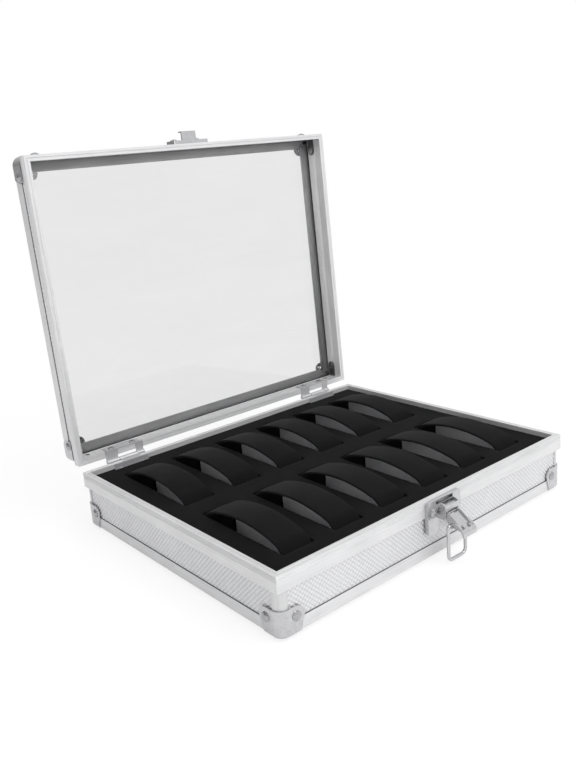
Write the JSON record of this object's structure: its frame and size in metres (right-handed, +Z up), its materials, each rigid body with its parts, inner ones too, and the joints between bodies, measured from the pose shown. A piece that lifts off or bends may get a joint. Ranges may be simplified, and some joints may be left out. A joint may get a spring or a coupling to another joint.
{
  "type": "watch display case",
  "caption": "Aluminium-framed case with a clear hinged lid, draw latch, riveted corner caps and a velvet insert with arched lift-out watch pillows.",
  "frame": {"origin": "on the plane that the four foot rivets stand on, below the middle of the open case's box; the base's own centre is 6.4 mm in front of it", "axes": "+X to the right along the front, +Y from the latch towards the hinges, +Z up"},
  "size_m": [0.2536, 0.2584, 0.2535],
  "materials": {
    "bottom_sheet": "plain mill-finish sheet",
    "embossed_aluminium": "satin silver sheet embossed with a fine diamond grid",
    "rim_aluminium": "satin silver extrusion with fine flutes",
    "edge_aluminium": "satin silver angle",
    "post_aluminium": "satin silver extrusion",
    "cap_steel": "bright nickel-plated pressing",
    "rivet_steel": "bright domed steel",
    "velvet_foam": "black flocked velvet over charcoal foam",
    "foam": "charcoal foam pad",
    "velvet_band": "black velvet over a springy band",
    "clear_window": "clear polished sheet",
    "gasket_rubber": "matt black strip",
    "bracket_steel": "dark plated sheet",
    "screw_steel": "bright plated",
    "hinge_steel": "bright nickel-plated pressing",
    "bail_wire": "bright plated wire",
    "latch_steel": "bright nickel-plated pressing"
  },
  "bodies": {
    "case_base": {"base_panel_front": "embossed_aluminium", "base_panel_back": "embossed_aluminium", "base_panel_left": "embossed_aluminium", "base_panel_right": "embossed_aluminium", "base_panel_bottom": "bottom_sheet", "base_rim_front": "rim_aluminium", "base_rim_back": "rim_aluminium", "base_rim_left": "rim_aluminium", "base_rim_right": "rim_aluminium", "base_edge_front": "edge_aluminium", "base_edge_back": "edge_aluminium", "base_edge_left": "edge_aluminium", "base_edge_right": "edge_aluminium", "base_corner_posts": "post_aluminium", "base_cap_front_left": "cap_steel", "base_cap_front_right": "cap_steel", "base_cap_back_left": "cap_steel", "base_cap_back_right": "cap_steel", "base_rivets": "rivet_steel", "foam_insert": "velvet_foam", "foam_pad": "foam", "hinge_base_leaves": "hinge_steel", "hinge_base_screws": "screw_steel", "hinge_pins": "hinge_steel", "latch_base_plate": "latch_steel", "latch_pin": "latch_steel"},
    "lid": {"lid_rim_front": "rim_aluminium", "lid_rim_back": "rim_aluminium", "lid_rim_left": "rim_aluminium", "lid_rim_right": "rim_aluminium", "lid_panels": "embossed_aluminium", "lid_edge_front": "edge_aluminium", "lid_edge_back": "edge_aluminium", "lid_edge_left": "edge_aluminium", "lid_edge_right": "edge_aluminium", "lid_window": "clear_window", "lid_gasket": "gasket_rubber", "lid_cap_front_left": "cap_steel", "lid_cap_front_right": "cap_steel", "lid_cap_back_left": "cap_steel", "lid_cap_back_right": "cap_steel", "lid_brackets": "bracket_steel", "lid_rivets": "rivet_steel", "hinge_lid_leaves": "hinge_steel", "hinge_lid_screws": "screw_steel", "latch_catch_plate": "latch_steel"},
    "latch_lever": {"latch_lever": "latch_steel"},
    "latch_bail": {"latch_bail": "bail_wire"},
    "pillow_front_1": {"pillow_front_1": "velvet_band"},
    "pillow_front_2": {"pillow_front_2": "velvet_band"},
    "pillow_front_3": {"pillow_front_3": "velvet_band"},
    "pillow_front_4": {"pillow_front_4": "velvet_band"},
    "pillow_front_5": {"pillow_front_5": "velvet_band"},
    "pillow_front_6": {"pillow_front_6": "velvet_band"},
    "pillow_back_1": {"pillow_back_1": "velvet_band"},
    "pillow_back_2": {"pillow_back_2": "velvet_band"},
    "pillow_back_3": {"pillow_back_3": "velvet_band"},
    "pillow_back_4": {"pillow_back_4": "velvet_band"},
    "pillow_back_5": {"pillow_back_5": "velvet_band"},
    "pillow_back_6": {"pillow_back_6": "velvet_band"}
  },
  "joints": [
    {"name": "lid_hinge", "type": "hinge", "parent": "case_base", "child": "lid", "pos_m": [0, 0.09912, 0.0378], "axis": [1, 0, 0], "range_deg": [0, 92.5]},
    {"name": "lever_fold", "type": "hinge", "parent": "case_base", "child": "latch_lever", "pos_m": [0, -0.11538, 0.0292], "axis": [1, 0, 0], "range_deg": [0, 55]},
    {"name": "bail_swing", "type": "hinge", "parent": "latch_lever", "child": "latch_bail", "pos_m": [0, -0.11936, 0.02373], "axis": [-1, 0, 0], "range_deg": [0, 235]},
    {"name": "pillow_front_1_lift", "type": "slide", "parent": "case_base", "child": "pillow_front_1", "axis": [0, 0, -1], "range_m": [-0.03, 0]},
    {"name": "pillow_front_2_lift", "type": "slide", "parent": "case_base", "child": "pillow_front_2", "axis": [0, 0, -1], "range_m": [-0.03, 0]},
    {"name": "pillow_front_3_lift", "type": "slide", "parent": "case_base", "child": "pillow_front_3", "axis": [0, 0, -1], "range_m": [-0.03, 0]},
    {"name": "pillow_front_4_lift", "type": "slide", "parent": "case_base", "child": "pillow_front_4", "axis": [0, 0, -1], "range_m": [-0.03, 0]},
    {"name": "pillow_front_5_lift", "type": "slide", "parent": "case_base", "child": "pillow_front_5", "axis": [0, 0, -1], "range_m": [-0.03, 0]},
    {"name": "pillow_front_6_lift", "type": "slide", "parent": "case_base", "child": "pillow_front_6", "axis": [0, 0, -1], "range_m": [-0.03, 0]},
    {"name": "pillow_back_1_lift", "type": "slide", "parent": "case_base", "child": "pillow_back_1", "axis": [0, 0, -1], "range_m": [-0.03, 0]},
    {"name": "pillow_back_2_lift", "type": "slide", "parent": "case_base", "child": "pillow_back_2", "axis": [0, 0, -1], "range_m": [-0.03, 0]},
    {"name": "pillow_back_3_lift", "type": "slide", "parent": "case_base", "child": "pillow_back_3", "axis": [0, 0, -1], "range_m": [-0.03, 0]},
    {"name": "pillow_back_4_lift", "type": "slide", "parent": "case_base", "child": "pillow_back_4", "axis": [0, 0, -1], "range_m": [-0.03, 0]},
    {"name": "pillow_back_5_lift", "type": "slide", "parent": "case_base", "child": "pillow_back_5", "axis": [0, 0, -1], "range_m": [-0.03, 0]},
    {"name": "pillow_back_6_lift", "type": "slide", "parent": "case_base", "child": "pillow_back_6", "axis": [0, 0, -1], "range_m": [-0.03, 0]}
  ],
  "couplings": [
    {"joint": "bail_swing", "follows": "lever_fold", "ratio": 4.2727}
  ]
}
